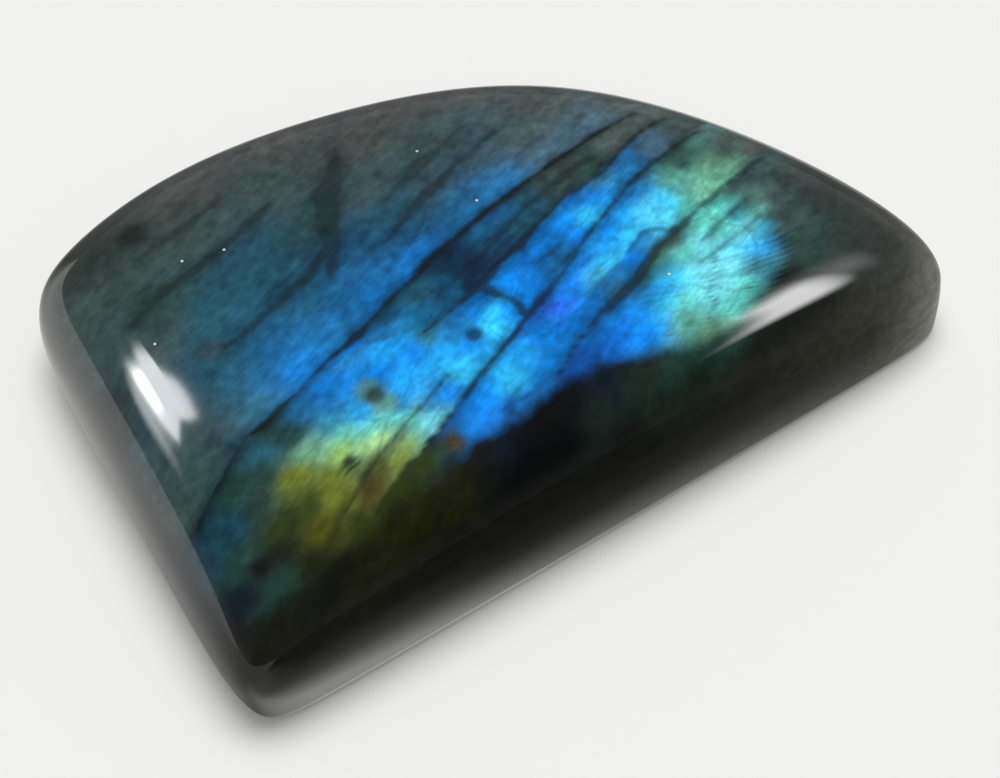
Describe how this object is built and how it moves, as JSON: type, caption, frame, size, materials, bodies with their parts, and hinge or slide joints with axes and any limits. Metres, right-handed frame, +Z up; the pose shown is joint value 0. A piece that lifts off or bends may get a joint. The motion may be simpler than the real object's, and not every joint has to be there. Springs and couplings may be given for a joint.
{
  "type": "labradorite cabochon",
  "caption": "Freeform polished labradorite cabochon with a flat back, a low crown, rounded shoulders and a blue and green flash across dark lamellae.",
  "frame": {"origin": "middle of the box round the stone, at the height of the flat back", "axes": "+X along the long nearly straight side (within about 2 degrees), from the corner that it shares with the short straight side towards the other one; +Y from that side towards the long round side; +Z up, from the flat back to the crown"},
  "size_m": [0.0424, 0.029, 0.0088],
  "materials": {
    "polished_labradorite": "high polish on the crown, shoulders and wall, ground satin on the flat back; dark grey-green body with blue, aqua and olive-green flash in bands between thin dark lamellae"
  },
  "bodies": {
    "root": {"cabochon": "polished_labradorite"}
  },
  "joints": []
}
